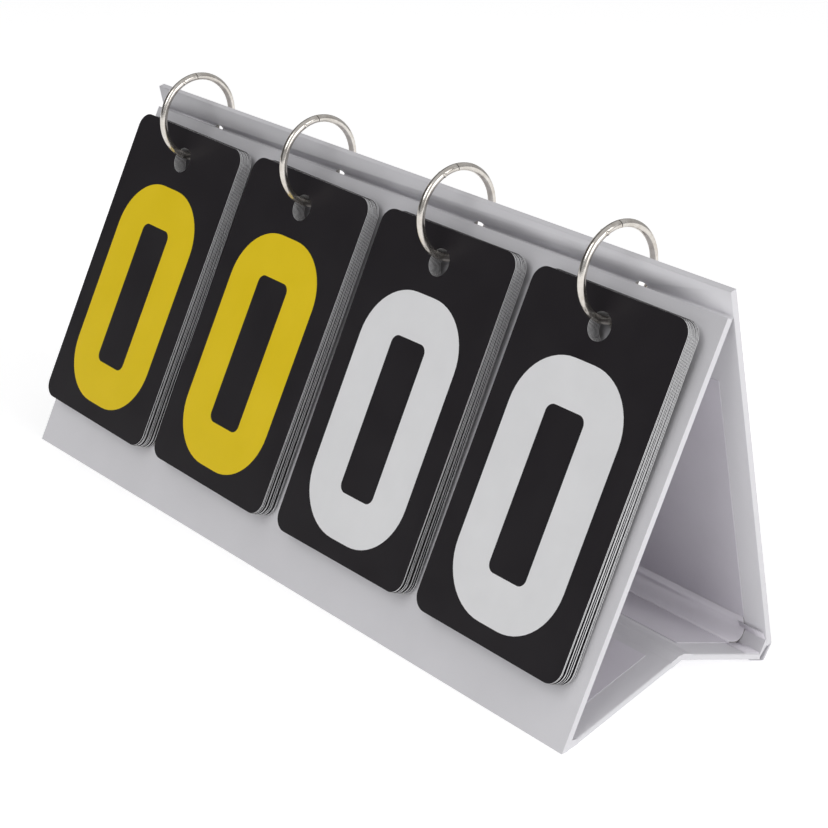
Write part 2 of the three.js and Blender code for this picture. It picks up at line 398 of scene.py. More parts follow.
# ---- finishes ----
def cover_paper(colour):
    """Pale leatherette paper with a fine pressed grain."""
    finish = Finish("Leatherette cover", 0.5)
    marks = group_node(finish.nodes, soft_marks, Scale=28.0)
    grain = group_node(finish.nodes, pebble_grain, Scale=1500.0, Fine=0.5)
    finish.blend(marks.outputs["Mask"], shade(colour, 0.95), shade(colour, 1.0))
    finish.roughness(marks.outputs["Mask"], 0.46, 0.58)
    finish.bump(grain.outputs["Height"], 0.03 * MM, 0.6)
    finish.shader.inputs["Specular IOR Level"].default_value = 0.35
    return finish.material


def liner_paper(colour):
    """Matt uncoated paper with fibres and faint glue waves."""
    finish = Finish("Liner paper", 0.8)
    marks = group_node(finish.nodes, soft_marks, Scale=45.0, Detail=7.0)
    fibre = group_node(finish.nodes, pebble_grain, Scale=2600.0, Fine=1.2)
    finish.blend(marks.outputs["Mask"], shade(colour, 0.94), shade(colour, 1.0))
    finish.roughness(marks.outputs["Mask"], 0.72, 0.86)
    finish.bump(fibre.outputs["Height"], 0.02 * MM, 0.5)
    return finish.material


def greyboard():
    """Raw grey recycled board, seen inside the punched holes."""
    finish = Finish("Greyboard core", 0.9)
    marks = group_node(finish.nodes, soft_marks, Scale=1400.0, Detail=6.0)
    finish.blend(marks.outputs["Mask"], (0.19, 0.18, 0.17), (0.34, 0.33, 0.31))
    finish.bump(marks.outputs["Mask"], 0.06 * MM, 0.8)
    return finish.material


def card_plastic():
    """Black film laminated on a white core, which shows only along the cut edges."""
    finish = Finish("Laminated card", 0.36)
    finish.shader.inputs["Specular IOR Level"].default_value = 0.32
    nodes, links = finish.nodes, finish.links
    across = nodes.new("ShaderNodeAttribute")
    across.attribute_name = "across"
    depth = nodes.new("ShaderNodeMath")
    depth.operation = "ABSOLUTE"
    film = nodes.new("ShaderNodeMapRange")
    film.inputs["From Min"].default_value = 0.52
    film.inputs["From Max"].default_value = 0.6
    links.new(across.outputs["Fac"], depth.inputs[0])
    links.new(depth.outputs[0], film.inputs["Value"])
    finish.blend(film.outputs["Result"], (0.80, 0.80, 0.81), (0.0140, 0.0118, 0.0142))
    marks = group_node(nodes, soft_marks, Scale=60.0, Detail=8.0)
    finish.roughness(marks.outputs["Mask"], 0.33, 0.42)
    grain = group_node(nodes, pebble_grain, Scale=1900.0, Fine=0.8)
    finish.bump(grain.outputs["Height"], 0.003 * MM, 0.3)
    return finish.material


def printing_ink(name, colour):
    """Opaque screen-printed ink with a slightly uneven lay."""
    finish = Finish(name, 0.4)
    marks = group_node(finish.nodes, soft_marks, Scale=70.0, Detail=6.0)
    grain = group_node(finish.nodes, pebble_grain, Scale=3600.0, Fine=1.0)
    finish.blend(marks.outputs["Mask"], shade(colour, 0.96), shade(colour, 1.0))
    finish.roughness(marks.outputs["Mask"], 0.36, 0.46)
    finish.bump(grain.outputs["Height"], 0.005 * MM, 0.4)
    return finish.material


def nickel_plate():
    """Bright nickel on steel wire, a little duller in fine patches and rubbed marks."""
    finish = Finish("Nickel plate", 0.16, 1.0)
    marks = group_node(finish.nodes, soft_marks, Scale=420.0, Detail=8.0)
    finish.blend(marks.outputs["Mask"], (0.56, 0.52, 0.47), (0.74, 0.71, 0.67))
    finish.roughness(marks.outputs["Mask"], 0.12, 0.26)
    rub = group_node(finish.nodes, pebble_grain, Scale=2400.0, Fine=1.5)
    finish.bump(rub.outputs["Height"], 0.008 * MM, 0.5)
    return finish.material


MATERIALS = {}


def material(name):
    """The named finish, made at its first use."""
    looks = bpy.context.scene.board_looks
    makers = {
        "cover": lambda: cover_paper(looks.cover_colour),
        "liner": lambda: liner_paper(looks.liner_colour),
        "core": greyboard,
        "card": card_plastic,
        "yellow": lambda: printing_ink("Yellow ink", looks.yellow),
        "white": lambda: printing_ink("White ink", looks.white),
        "nickel": nickel_plate,
    }
    if name not in MATERIALS:
        MATERIALS[name] = makers[name]()
    return MATERIALS[name]


# ---- panels ----
def wrapped_board(node, body, name, rounding, punched=False):
    """A panel with paper rolled over its edges and raw board showing in any punched holes."""
    bm = bmesh.new()
    bm.from_mesh(frame["nodes"][node].data)
    bmesh.ops.remove_doubles(bm, verts=bm.verts, dist=WELD)
    bmesh.ops.dissolve_limit(bm, angle_limit=math.radians(1), verts=bm.verts, edges=bm.edges)
    facing = max(bm.faces, key=lambda f: f.calc_area()).normal.copy()
    for face in bm.faces:
        face.smooth = True
        wall = punched and face.calc_area() < HOLE_WALL_AREA and abs(face.normal.dot(facing)) < 0.3
        face.material_index = 1 if wall else 0
    obj = object_from(name, bm, [material("cover"), material("core")])
    bevel = obj.modifiers.new("rolled edge", "BEVEL")
    bevel.width = rounding
    bevel.segments = 3
    bevel.limit_method = "ANGLE"
    bevel.angle_limit = math.radians(40)
    bevel.harden_normals = True
    made_plain(obj)
    placed(obj, body, "cover", node)


# ---- paper folds ----
def paper_fold(name, path, thickness, spans, kind, edge=None):
    """A strip of paper laid along a side path over one or more spans of the length."""
    bm = bmesh.new()
    outline = thickened(path, thickness)
    for x0, x1 in spans:
        prism(bm, outline, x0, x1)
    bmesh.ops.recalc_face_normals(bm, faces=bm.faces)
    for face in bm.faces:
        face.smooth = abs(face.normal.x) < 0.5
        face.material_index = 1 if edge and not face.smooth else 0
    return object_from(name, bm, [material(kind)] + ([material(edge)] if edge else []))


# ---- digit cards ----
def digit_outlines(size):
    """Outer loops and holes of the ten digits, as corners with radii, centred on the digit."""
    w, h = size.digit_width / 2, size.digit_height / 2
    iw, ih = w - size.stem, h - size.bar
    mid, gap = size.bar / 2, h * 0.43
    big, small, tip = size.digit_round, 3 * MM, 1.2 * MM
    bowl = 12 * MM
    counter = [(-iw, -ih, small), (iw, -ih, small), (iw, ih, small), (-iw, ih, small)]
    ring = [(-w, -h, big), (w, -h, big), (w, h, big), (-w, h, big)]
    upper = [(-iw, mid, small), (iw, mid, small), (iw, ih, small), (-iw, ih, small)]
    lower = [(x, -y, r) for x, y, r in upper[::-1]]
    two = [
        (-w, gap, tip), (-w, h, big), (w, h, big), (w, -mid, bowl), (-iw, -mid, small), (-iw, -ih, tip),
        (w, -ih, tip), (w, -h, tip), (-w, -h, tip), (-w, mid, bowl), (iw, mid, small), (iw, ih, small),
        (-iw, ih, small), (-iw, gap, tip),
    ]
    three = [
        (-w, gap, tip), (-w, h, big), (w, h, big), (w, -h, big), (-w, -h, big), (-w, -gap, tip),
        (-iw, -gap, tip), (-iw, -ih, small), (iw, -ih, small), (iw, -mid, small), (-iw / 2, -mid, tip),
        (-iw / 2, mid, tip), (iw, mid, small), (iw, ih, small), (-iw, ih, small), (-iw, gap, tip),
    ]
    six = [
        (w, mid, bowl), (w, -h, big), (-w, -h, big), (-w, h, big), (w, h, big), (w, gap, tip),
        (iw, gap, tip), (iw, ih, small), (-iw, ih, small), (-iw, mid, small),
    ]
    one = [
        (iw, -h, tip), (iw, h, tip), (-iw / 2, h, tip), (-w * 0.8, h * 0.7, tip),
        (-w * 0.8, h * 0.38, tip), (-iw, h * 0.58, tip), (-iw, -h, tip),
    ]
    four = [
        (-w, h, tip), (-iw, h, tip), (-iw, mid, small), (iw, mid, small), (iw, h, tip), (w, h, tip),
        (w, -h, tip), (iw, -h, tip), (iw, -mid, small), (-w, -mid, small),
    ]
    seven = [
        (-w, h, tip), (w, h, tip), (w, ih * 0.8, small), (iw / 4, -h, tip),
        (iw / 4 - size.stem, -h, tip), (iw, ih, tip), (-w, ih, tip),
    ]
    turned = [(-x, -y, r) for x, y, r in six]
    flipped = [(x, -y, r) for x, y, r in two]
    return [
        [ring, counter], [one], [two], [three], [four], [flipped], [six, lower], [seven],
        [ring, upper, lower], [turned, upper],
    ]


def add_digit(bm, loops, centre, face, lift):
    """Lays one digit of ink on the front of a card."""
    rounded = [[p + centre for p in fillet(loop, step=7)] for loop in loops]
    layered(bm, lambda _: rounded, [(face - lift / 4, 0), (face + lift, 0)], 1, smooth_walls=False)


def digit_card(name, node, body, digit, ink):
    """A laminated card with its digit printed on the front, hung where its node hangs."""
    size = bpy.context.scene.board_cards
    plate = Plate(node)
    half = (plate.high - plate.low) / 2
    middle = (plate.high + plate.low) / 2
    hole = Vector((0, half.y - size.hole_drop))
    soft = size.edge_break

    def loops_at(inset):
        """The card's edge and its hole, drawn in by an inset."""
        x, y, r = half.x - inset, half.y - inset, size.corner - inset
        edge = fillet([(-x, -y, r), (x, -y, r), (x, y, r), (-x, y, r)], step=9)
        return [edge, [p + hole for p in circle(size.hole_radius + inset, 48, reverse=True)]]

    bm = bmesh.new()
    bm.verts.layers.float.new("across")
    t = half.z
    layered(bm, loops_at, [(-t, soft), (-t * 0.8, 0), (t * 0.8, 0), (t, soft)])
    centre = Vector((size.digit_side, half.y - size.digit_drop - size.digit_height / 2))
    add_digit(bm, digit_outlines(size)[digit], centre, t, size.ink)
    bmesh.ops.recalc_face_normals(bm, faces=bm.faces)
    bm.transform(plate.basis.to_4x4() @ Matrix.Translation(middle))
    obj = object_from(name, bm, [material("card"), material(ink)])
    placed(obj, body, "card", node)


# ---- rings ----
def wire_tree():
    """A round wire bent into a full ring in the YZ plane, about a given centre."""
    tree = bpy.data.node_groups.new("Bent wire ring", "GeometryNodeTree")
    for label, kind in (
        ("Ring Radius", "NodeSocketFloat"), ("Wire Radius", "NodeSocketFloat"),
        ("Centre", "NodeSocketVector"), ("Material", "NodeSocketMaterial"),
    ):
        tree.interface.new_socket(label, in_out="INPUT", socket_type=kind)
    tree.interface.new_socket("Geometry", in_out="OUTPUT", socket_type="NodeSocketGeometry")
    nodes, links = tree.nodes, tree.links
    given, out = nodes.new("NodeGroupInput"), nodes.new("NodeGroupOutput")
    bend = nodes.new("GeometryNodeCurvePrimitiveCircle")
    bend.inputs["Resolution"].default_value = 96
    section = nodes.new("GeometryNodeCurvePrimitiveCircle")
    section.inputs["Resolution"].default_value = 24
    sweep = nodes.new("GeometryNodeCurveToMesh")
    place = nodes.new("GeometryNodeTransform")
    place.inputs["Rotation"].default_value = (0, math.pi / 2, 0)
    real = nodes.new("GeometryNodeRealizeInstances")
    paint = nodes.new("GeometryNodeSetMaterial")
    links.new(given.outputs["Ring Radius"], bend.inputs["Radius"])
    links.new(given.outputs["Wire Radius"], section.inputs["Radius"])
    links.new(bend.outputs["Curve"], sweep.inputs["Curve"])
    links.new(section.outputs["Curve"], sweep.inputs["Profile Curve"])
    links.new(sweep.outputs["Mesh"], place.inputs["Geometry"])
    links.new(given.outputs["Centre"], place.inputs["Translation"])
    links.new(place.outputs["Geometry"], real.inputs["Geometry"])
    links.new(real.outputs["Geometry"], paint.inputs["Geometry"])
    links.new(given.outputs["Material"], paint.inputs["Material"])
    links.new(paint.outputs["Geometry"], out.inputs["Geometry"])
    return tree


def input_id(tree, label):
    """A modifier's input is set by its socket's identifier."""
    return next(i.identifier for i in tree.interface.items_tree if i.name == label)


def bent_wire(name, centre, ring_radius, wire_radius):
    """A full ring of round wire as a closed plain mesh."""
    obj = link(name, bpy.data.meshes.new(name))
    change = obj.modifiers.new("wire", "NODES")
    change.node_group = bpy.data.node_groups.get("Bent wire ring") or wire_tree()
    tree = change.node_group
    change[input_id(tree, "Ring Radius")] = ring_radius
    change[input_id(tree, "Wire Radius")] = wire_radius
    change[input_id(tree, "Centre")] = tuple(centre)
    change[input_id(tree, "Material")] = material("nickel")
    made_plain(obj)
    bm = bmesh.new()
    bm.from_mesh(obj.data)
    bmesh.ops.remove_doubles(bm, verts=bm.verts, dist=WELD)
    bmesh.ops.recalc_face_normals(bm, faces=bm.faces)
    bm.to_mesh(obj.data)
    bm.free()
    return obj


def disc(name, centre, radius, x0, x1):
    """A cylinder along X."""
    return bar(name, [[p + centre.yz for p in circle(radius, 48)]], x0, x1, "nickel")


def half_tool(side, sign, centre, hinge, size):
    """The space one half of a ring keeps: its side of the seam, less the other half's tongues."""
    out = (hinge - centre).yz.normalized()
    beside = Vector((-out.y, out.x)) * side
    far = size.wire_radius * 30
    gap = size.lap_gap / 2
    corners = ((-far, gap), (far, gap), (far, far), (-far, far))
    block = [centre.yz + out * a + beside * b for a, b in corners]
    tool = bar("tool", [block], centre.x - far, centre.x + far, "nickel")
    reach = size.wire_radius * 3
    near = sorted((centre.x + sign * size.seam, centre.x + sign * reach))
    away = sorted((centre.x + sign * size.seam, centre.x - sign * reach))
    catch = centre * 2 - hinge
    for spot, lap in ((hinge, size.lap), (catch, size.catch)):
        boolean(tool, disc("away", spot, lap + size.lap_gap, *away), "DIFFERENCE")
        boolean(tool, disc("near", spot, lap, *near), "UNION")
    return tool


def rivet_profile(size):
    """Half section of the rivet: distance along its axis, and radius."""
    head, pin, out = size.rivet, size.rivet * 0.6, size.wire_radius
    right = [
        (out - 0.10 * MM, pin), (out - 0.10 * MM, head), (out + 0.02 * MM, head),
        (out + 0.14 * MM, head * 0.55), (out + 0.16 * MM, 0),
    ]
    return [(-x, r) for x, r in reversed(right)] + right


def add_rivet(obj, at, size):
    """Joins a small domed rivet to a half ring."""
    steps = 24
    bm = bmesh.new()
    bm.from_mesh(obj.data)
    rows = []
    for x, r in rivet_profile(size):
        if r == 0:
            rows.append([bm.verts.new((at.x + x, at.y, at.z))])
        else:
            rows.append([bm.verts.new((at.x + x, at.y + p.x, at.z + p.y)) for p in circle(r, steps)])
    made = []
    for a, b in zip(rows, rows[1:]):
        for i in range(steps):
            j = (i + 1) % steps
            corners = [a[i % len(a)], a[j % len(a)], b[j % len(b)], b[i % len(b)]]
            made.append(bm.faces.new(list(dict.fromkeys(corners))))
    bmesh.ops.recalc_face_normals(bm, faces=made)
    for face in made:
        face.smooth = True
    bm.to_mesh(obj.data)
    bm.free()


def softened(obj, width):
    """Breaks the cut edges of a piece."""
    bevel = obj.modifiers.new("broken edge", "BEVEL")
    bevel.width = width
    bevel.segments = 2
    bevel.limit_method = "ANGLE"
    bevel.angle_limit = math.radians(50)
    bevel.harden_normals = True
    for face in obj.data.polygons:
        face.use_smooth = True
    made_plain(obj)


def ring_pair():
    """The front and rear half of the first ring, lapped and riveted at the hinge."""
    size = bpy.context.scene.board_rings
    centre, hinge = joint_at("ring1_turn"), joint_at("ring1_open")
    radius = (hinge - centre).length
    halves = []
    for label, side, sign in (("front", 1, 1), ("rear", -1, -1)):
        half = bent_wire(f"ring1_{label}_wire", centre, radius, size.wire_radius)
        tool = half_tool(side, sign, centre, hinge, size)
        if label == "rear":
            eye = disc("eye", hinge, size.rivet * 0.9, centre.x - size.wire_radius * 3, centre.x)
            boolean(tool, eye, "DIFFERENCE")
        boolean(half, tool, "INTERSECT")
        softened(half, 0.07 * MM)
        halves.append(half)
    add_rivet(halves[0], hinge, size)
    return halves


# ---- user settings ----
class BoardLooks(bpy.types.PropertyGroup):
    cover_colour: bpy.props.FloatVectorProperty(
        name="Cover", description="Colour of the covering paper", subtype="COLOR",
        default=(0.68, 0.672, 0.697), min=0, max=1)
    liner_colour: bpy.props.FloatVectorProperty(
        name="Liner", description="Colour of the paper inside", subtype="COLOR",
        default=(0.72, 0.695, 0.745), min=0, max=1)
    yellow: bpy.props.FloatVectorProperty(
        name="Yellow ink", description="Colour of the left digits", subtype="COLOR",
        default=(0.80, 0.58, 0.004), min=0, max=1)
    white: bpy.props.FloatVectorProperty(
        name="White ink", description="Colour of the right digits", subtype="COLOR",
        default=(0.78, 0.78, 0.79), min=0, max=1)
    rounding: bpy.props.FloatProperty(
        name="Rolled edge", description="Radius of the paper over a panel edge", unit="LENGTH",
        default=0.6 * MM, min=0)
    paper: bpy.props.FloatProperty(
        name="Paper", description="Thickness of the paper over the folds", unit="LENGTH",
        default=0.18 * MM, min=0)


class CardSizes(bpy.types.PropertyGroup):
    corner: bpy.props.FloatProperty(
        name="Corner", description="Radius of a card's corners", unit="LENGTH", default=5.5 * MM)
    hole_radius: bpy.props.FloatProperty(
        name="Hole radius", description="Radius of the punched hole", unit="LENGTH", default=4.7 * MM)
    hole_drop: bpy.props.FloatProperty(
        name="Hole drop", description="Hole centre below the card's top", unit="LENGTH", default=11.4 * MM)
    edge_break: bpy.props.FloatProperty(
        name="Edge break", description="Width of the softened cut edge", unit="LENGTH", default=0.04 * MM)
    ink: bpy.props.FloatProperty(
        name="Ink", description="Height of the ink over the card", unit="LENGTH", default=0.02 * MM)
    digit_drop: bpy.props.FloatProperty(
        name="Digit drop", description="Top of the digit below the card's top", unit="LENGTH",
        default=22.9 * MM)
    digit_side: bpy.props.FloatProperty(
        name="Digit side", description="Digit centre right of the card's middle", unit="LENGTH",
        default=-0.5 * MM)
    digit_width: bpy.props.FloatProperty(
        name="Digit width", description="Width of a digit", unit="LENGTH", default=48.4 * MM)
    digit_height: bpy.props.FloatProperty(
        name="Digit height", description="Height of a digit", unit="LENGTH", default=86.6 * MM)
    stem: bpy.props.FloatProperty(
        name="Stem", description="Width of the upright strokes", unit="LENGTH", default=15.8 * MM)
    bar: bpy.props.FloatProperty(
        name="Bar", description="Width of the level strokes", unit="LENGTH", default=15.5 * MM)
    digit_round: bpy.props.FloatProperty(
        name="Digit corner", description="Outer corner radius of a digit", unit="LENGTH", default=20 * MM)


class RingSizes(bpy.types.PropertyGroup):
    wire_radius: bpy.props.FloatProperty(
        name="Wire radius", description="Radius of the ring's wire", unit="LENGTH", default=1.35 * MM)
    lap: bpy.props.FloatProperty(
        name="Hinge lap", description="Reach of the tongues round the rivet", unit="LENGTH", default=6 * MM)
    catch: bpy.props.FloatProperty(
        name="Catch lap", description="Reach of the tongues at the catch", unit="LENGTH", default=1.9 * MM)
    lap_gap: bpy.props.FloatProperty(
        name="End gap", description="Gap at the end of a tongue", unit="LENGTH", default=0.3 * MM)
    seam: bpy.props.FloatProperty(
        name="Seam", description="Half the gap between lapped tongues", unit="LENGTH", default=0.13 * MM)
    rivet: bpy.props.FloatProperty(
        name="Rivet head", description="Radius of the rivet's head", unit="LENGTH", default=0.78 * MM)


class StageSettings(bpy.types.PropertyGroup):
    azimuth: bpy.props.FloatProperty(
        name="Azimuth", description="Camera angle to the right of the front", subtype="ANGLE",
        default=math.radians(50.52))
    elevation: bpy.props.FloatProperty(
        name="Elevation", description="Camera angle above the table", subtype="ANGLE",
        default=math.radians(23.32))
    distance: bpy.props.FloatProperty(
        name="Distance", description="Camera distance from its aim", unit="LENGTH", default=0.7616)
    aim: bpy.props.FloatVectorProperty(
        name="Aim", description="Point the camera looks at", subtype="TRANSLATION",
        default=(0.0146, 0.0086, 0.0504))
    lens: bpy.props.FloatProperty(
        name="Lens", description="Focal length for a 36 mm sensor, in millimetres", default=95.5)
    room: bpy.props.FloatProperty(
        name="Room", description="Strength of the light from all round", default=0.62, min=0)
    key: bpy.props.FloatProperty(
        name="Key light", description="Power of the light in front", unit="POWER", default=11, min=0)
    side: bpy.props.FloatProperty(
        name="Side light", description="Power of the light at the open end", unit="POWER",
        default=11, min=0)
    floor_glow: bpy.props.FloatProperty(
        name="Floor glow", description="Light given off by the floor", default=0.42, min=0)


# ---- operators ----
class SCOREBOARD_OT_panels(bpy.types.Operator):
    """Make the wrapped panels and give the liners their paper"""
    bl_idname = "scoreboard.panels"
    bl_label = "Panels"

    def execute(self, context):
        looks = context.scene.board_looks
        for node, body in (
            ("front_panel", "front_stand"), ("rear_panel", "rear"),
            ("base_front_panel", "base_front"), ("base_rear_panel", "base_rear"),
        ):
            wrapped_board(node, body, f"{node}_wrapped", looks.rounding, punched="base" not in node)
        wrapped_board("rear_corner_strip", "rear", "rear_corner_wrapped", looks.rounding / 2)
        for node in ("front_liner", "rear_liner", "base_front_liner", "base_rear_liner"):
            frame["nodes"][node].material_slots[0].material = material("liner")
        return {"FINISHED"}


class SCOREBOARD_OT_folds(bpy.types.Operator):
    """Make the paper that hinges the panels together"""
    bl_idname = "scoreboard.folds"
    bl_label = "Paper folds"

    def execute(self, context):
        paper = context.scene.board_looks.paper
        front, rear = Plate("front_panel"), Plate("rear_panel")
        floor_front = Plate("base_front_panel", facing=(0, 0, 1))
        floor_rear = Plate("base_rear_panel", facing=(0, 0, 1))
        full = (front.low.x, front.high.x)
        inner = (full[0] + LINER_INSET, full[1] - LINER_INSET)
        self.crease(front, rear, paper, full)
        self.front_foot(front, floor_front, paper, full, inner)
        self.rear_foot(rear, floor_rear, paper, full, inner)
        self.middle(floor_front, floor_rear, full)
        return {"FINISHED"}

    def crease(self, front, rear, paper, full):
        """Cover paper from the front panel's top edge up the face of the rear panel."""
        top, face = front.high.y + paper / 2, rear.high.z + paper / 2
        fold = rear.local(joint_at("fold"))
        path = rounded_corner(
            (front.yz(top, front.high.z - 0.1 * MM), front.yz(top, front.low.z)),
            (rear.yz(fold.y + 1 * MM, face), rear.yz(rear.high.y - 0.2 * MM, face)), 0.7 * MM)
        obj = paper_fold("crease_paper", path, paper, [full], "cover")
        for k in range(1, SETS + 1):
            boolean(obj, self.slot_tool(rear, joint_at(f"ring{k}_turn").x, fold.y, face), "DIFFERENCE")
        bending(obj)

    def slot_tool(self, rear, ring_x, fold_v, face):
        """The rounded top of a rear slot, which peeks out above the crease."""
        bm = bmesh.new()
        bmesh.ops.create_cone(
            bm, cap_ends=True, segments=48, radius1=SLOT_RADIUS, radius2=SLOT_RADIUS, depth=2.4 * MM)
        place = Matrix.Translation(rear.at(ring_x + SLOT_SIDE, fold_v - SLOT_DROP, face - 0.4 * MM))
        bm.transform(place @ rear.basis.to_4x4())
        return object_from("tool", bm, [material("cover")])

    def front_foot(self, front, base, paper, full, inner):
        """The wrapped wedge in the front fold, with the liner over its inside corner."""
        back, start = front.low.z + SINK, base.low.y
        board_end = start + 0.8 * MM
        outline = [
            front.yz(front.low.y + 1.2 * MM, back), base.yz(board_end, base.low.z + HAIR),
            base.yz(board_end, base.high.z - HAIR), front.yz(front.low.y + 4.6 * MM, back),
        ]
        obj = self.fill("front_foot_fold", outline, full)
        bending(obj)
        face, over = front.low.z - 0.3 * MM - paper / 2, base.high.z + 0.3 * MM
        inside = rounded_corner(
            (front.yz(front.low.y + 10 * MM, face), front.yz(front.low.y + 7 * MM, face)),
            (base.yz(start + 3 * MM, over), base.yz(start + 6 * MM, over)), 1.5 * MM)
        obj = paper_fold("front_cove_liner", inside, paper, [inner], "liner")
        bending(obj)

    def rear_foot(self, rear, base, paper, full, inner):
        """The wrapped wedge in the rear fold, its coved liner and the tucked paper at both ends."""
        face, top, start = rear.high.z, base.high.z, base.high.y
        foot, board_end, lift = rear.low.y, base.high.y - 0.8 * MM, paper / 2
        outline = [
            rear.yz(foot + 0.6 * MM, face - SINK), rear.yz(foot + 3.4 * MM, face - SINK),
            base.yz(board_end, top - HAIR), base.yz(board_end, base.low.z + HAIR),
        ]
        obj = self.fill("rear_foot_fold", outline, full)
        bending(obj)
        over = 0.36 * MM
        cove = rounded_corner(
            (rear.yz(foot + 7.5 * MM, face + over), rear.yz(foot + 6 * MM, face + over)),
            (base.yz(start - 5 * MM, top + over), base.yz(start - 6.5 * MM, top + over)), 3.6 * MM)
        obj = paper_fold("rear_cove_liner", cove, paper * 1.6, [inner], "liner", edge="core")
        bending(obj)
        tuck = rounded_corner(
            (rear.yz(foot + 5.5 * MM, face + 0.9 * MM), rear.yz(foot + 5 * MM, face + 0.8 * MM)),
            (base.yz(start - 4 * MM, top + lift), base.yz(start - 8 * MM, top + lift)), 2.4 * MM)
        ends = [(full[0] + 0.4 * MM, inner[0] + 2 * MM), (inner[1] - 2 * MM, full[1] - 0.4 * MM)]
        obj = paper_fold("rear_end_tucks", tuck, paper, ends, "liner")
        bending(obj)
        low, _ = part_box("rear_corner_strip")
        heel = Vector((joint_at("base_rear_fold").y - 0.2 * MM, low.z + lift))
        below = base.low.z - lift
        under = [heel, base.yz(start - 1 * MM, below), base.yz(start - 5 * MM, below)]
        obj = paper_fold("rear_foot_paper", under, paper, [full], "cover")
        bending(obj)

    def fill(self, name, outline, full):
        """A solid fill of folded cover paper along the whole length."""
        return bar(name, [outline], full[0] + END_GAP, full[1] - END_GAP, "cover")

    def crossing(self, front, front_n, rear, rear_n):
        """Where a level of the front board would meet a level of the rear one, in y and z."""
        reach = 9 * MM
        return intersect_line_line_2d(
            front.yz(front.high.y - reach, front_n), front.yz(front.high.y + reach, front_n),
            rear.yz(rear.low.y + reach, rear_n), rear.yz(rear.low.y - reach, rear_n))

    def middle(self, front, rear, full):
        """Two flaps of board cover that meet along the raised middle fold."""
        meet = self.crossing(front, front.low.z, rear, rear.low.z)
        peak = self.crossing(front, front.high.z, rear, rear.high.z)
        self.flap("base_front", front, front.high.y, 1, meet, peak, full)
        self.flap("base_rear", rear, rear.low.y, -1, meet, peak, full)

    def flap(self, body, plate, end, inward, meet, peak, full):
        """One half of the middle fold, which moves with its board."""
        back = end - FLAP_ROOT * inward
        side = Vector((-HALF_SLIT * inward, 0))
        crown = plate.yz(plate.local((0, *peak)).y - 1.2 * MM * inward, plate.high.z + 0.1 * MM)
        outline = [
            plate.yz(back, plate.low.z + 0.1 * MM), plate.yz(end, plate.low.z),
            meet + side + Vector((0, 0.15 * MM)), (meet + peak) / 2 + side,
            peak + side - Vector((0, 0.25 * MM)), crown,
            plate.yz(end, plate.high.z + HAIR), plate.yz(back, plate.high.z - 0.1 * MM),
        ]
        obj = self.fill(f"{body}_flap", outline, full)
        placed(obj, body, "cover")
        anchor = plate.at(0, back, plate.high.z)
        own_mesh(obj)


class SCOREBOARD_OT_cards(bpy.types.Operator):
    """Make the forty digit cards"""
    bl_idname = "scoreboard.cards"
    bl_label = "Digit cards"

    def execute(self, context):
        for s in range(1, SETS + 1):
            ink = "yellow" if s <= YELLOW_SETS else "white"
            for digit in range(CARDS):
                body = f"set{s}_front_card" if digit == 0 else "front_stand"
                digit_card(f"set{s}_digit_{digit}", f"set{s}_card_{digit}", body, digit, ink)
        return {"FINISHED"}


class SCOREBOARD_OT_rings(bpy.types.Operator):
    """Make the riveted loose-leaf rings"""
    bl_idname = "scoreboard.rings"
    bl_label = "Rings"

    def execute(self, context):
        halves = ring_pair()
        start = joint_at("ring1_turn")
        for k in range(1, SETS + 1):
            shift = joint_at(f"ring{k}_turn") - start
            bodies = (f"ring{k}", f"ring{k}_gate")
            for label, body, half in zip(("front", "rear"), bodies, halves):
                mesh = half.data.copy()
                mesh.transform(Matrix.Translation(shift))
                piece = link(f"ring{k}_{label}_nickel", mesh)
                placed(piece, body, "nickel", f"ring{k}_{label}_half")
        for half in halves:
            bpy.data.objects.remove(half)
        return {"FINISHED"}


def studio_world(strength):
    """A pale room, brighter overhead, that the nickel can reflect."""
    world = bpy.data.worlds.new("Studio")
    bpy.context.scene.world = world
    world.use_nodes = True
    nodes, links = world.node_tree.nodes, world.node_tree.links
    back = nodes["Background"]
    place = nodes.new("ShaderNodeTexCoord")
    split = nodes.new("ShaderNodeSeparateXYZ")
    ramp = nodes.new("ShaderNodeValToRGB")
    ramp.color_ramp.elements[0].position = 0.45
    ramp.color_ramp.elements[0].color = (0.62, 0.62, 0.63, 1)
    ramp.color_ramp.elements[1].position = 1.0
    ramp.color_ramp.elements[1].color = (1, 1, 1, 1)
    lift = nodes.new("ShaderNodeMapRange")
    lift.inputs["From Min"].default_value = -1.0
    links.new(place.outputs["Generated"], split.inputs[0])
    links.new(split.outputs["Z"], lift.inputs["Value"])
    links.new(lift.outputs["Result"], ramp.inputs["Fac"])
    dark_side = nodes.new("ShaderNodeVectorMath")
    dark_side.operation = "DOT_PRODUCT"
    dark_side.inputs[1].default_value = Vector((-0.71, -0.66, 0.2)).normalized()
    shadow = nodes.new("ShaderNodeMapRange")
    shadow.interpolation_type = "SMOOTHSTEP"
    shadow.inputs["From Min"].default_value = 0.55
    shadow.inputs["From Max"].default_value = 0.95
    shade_mix = nodes.new("ShaderNodeMix")
    shade_mix.data_type = "RGBA"
    shade_mix.inputs["B"].default_value = (0.12, 0.12, 0.125, 1)
    links.new(place.outputs["Generated"], dark_side.inputs[0])
    links.new(dark_side.outputs["Value"], shadow.inputs["Value"])
    links.new(shadow.outputs["Result"], shade_mix.inputs["Factor"])
    links.new(ramp.outputs["Color"], shade_mix.inputs["A"])
    links.new(shade_mix.outputs["Result"], back.inputs["Color"])
    back.inputs["Strength"].default_value = strength


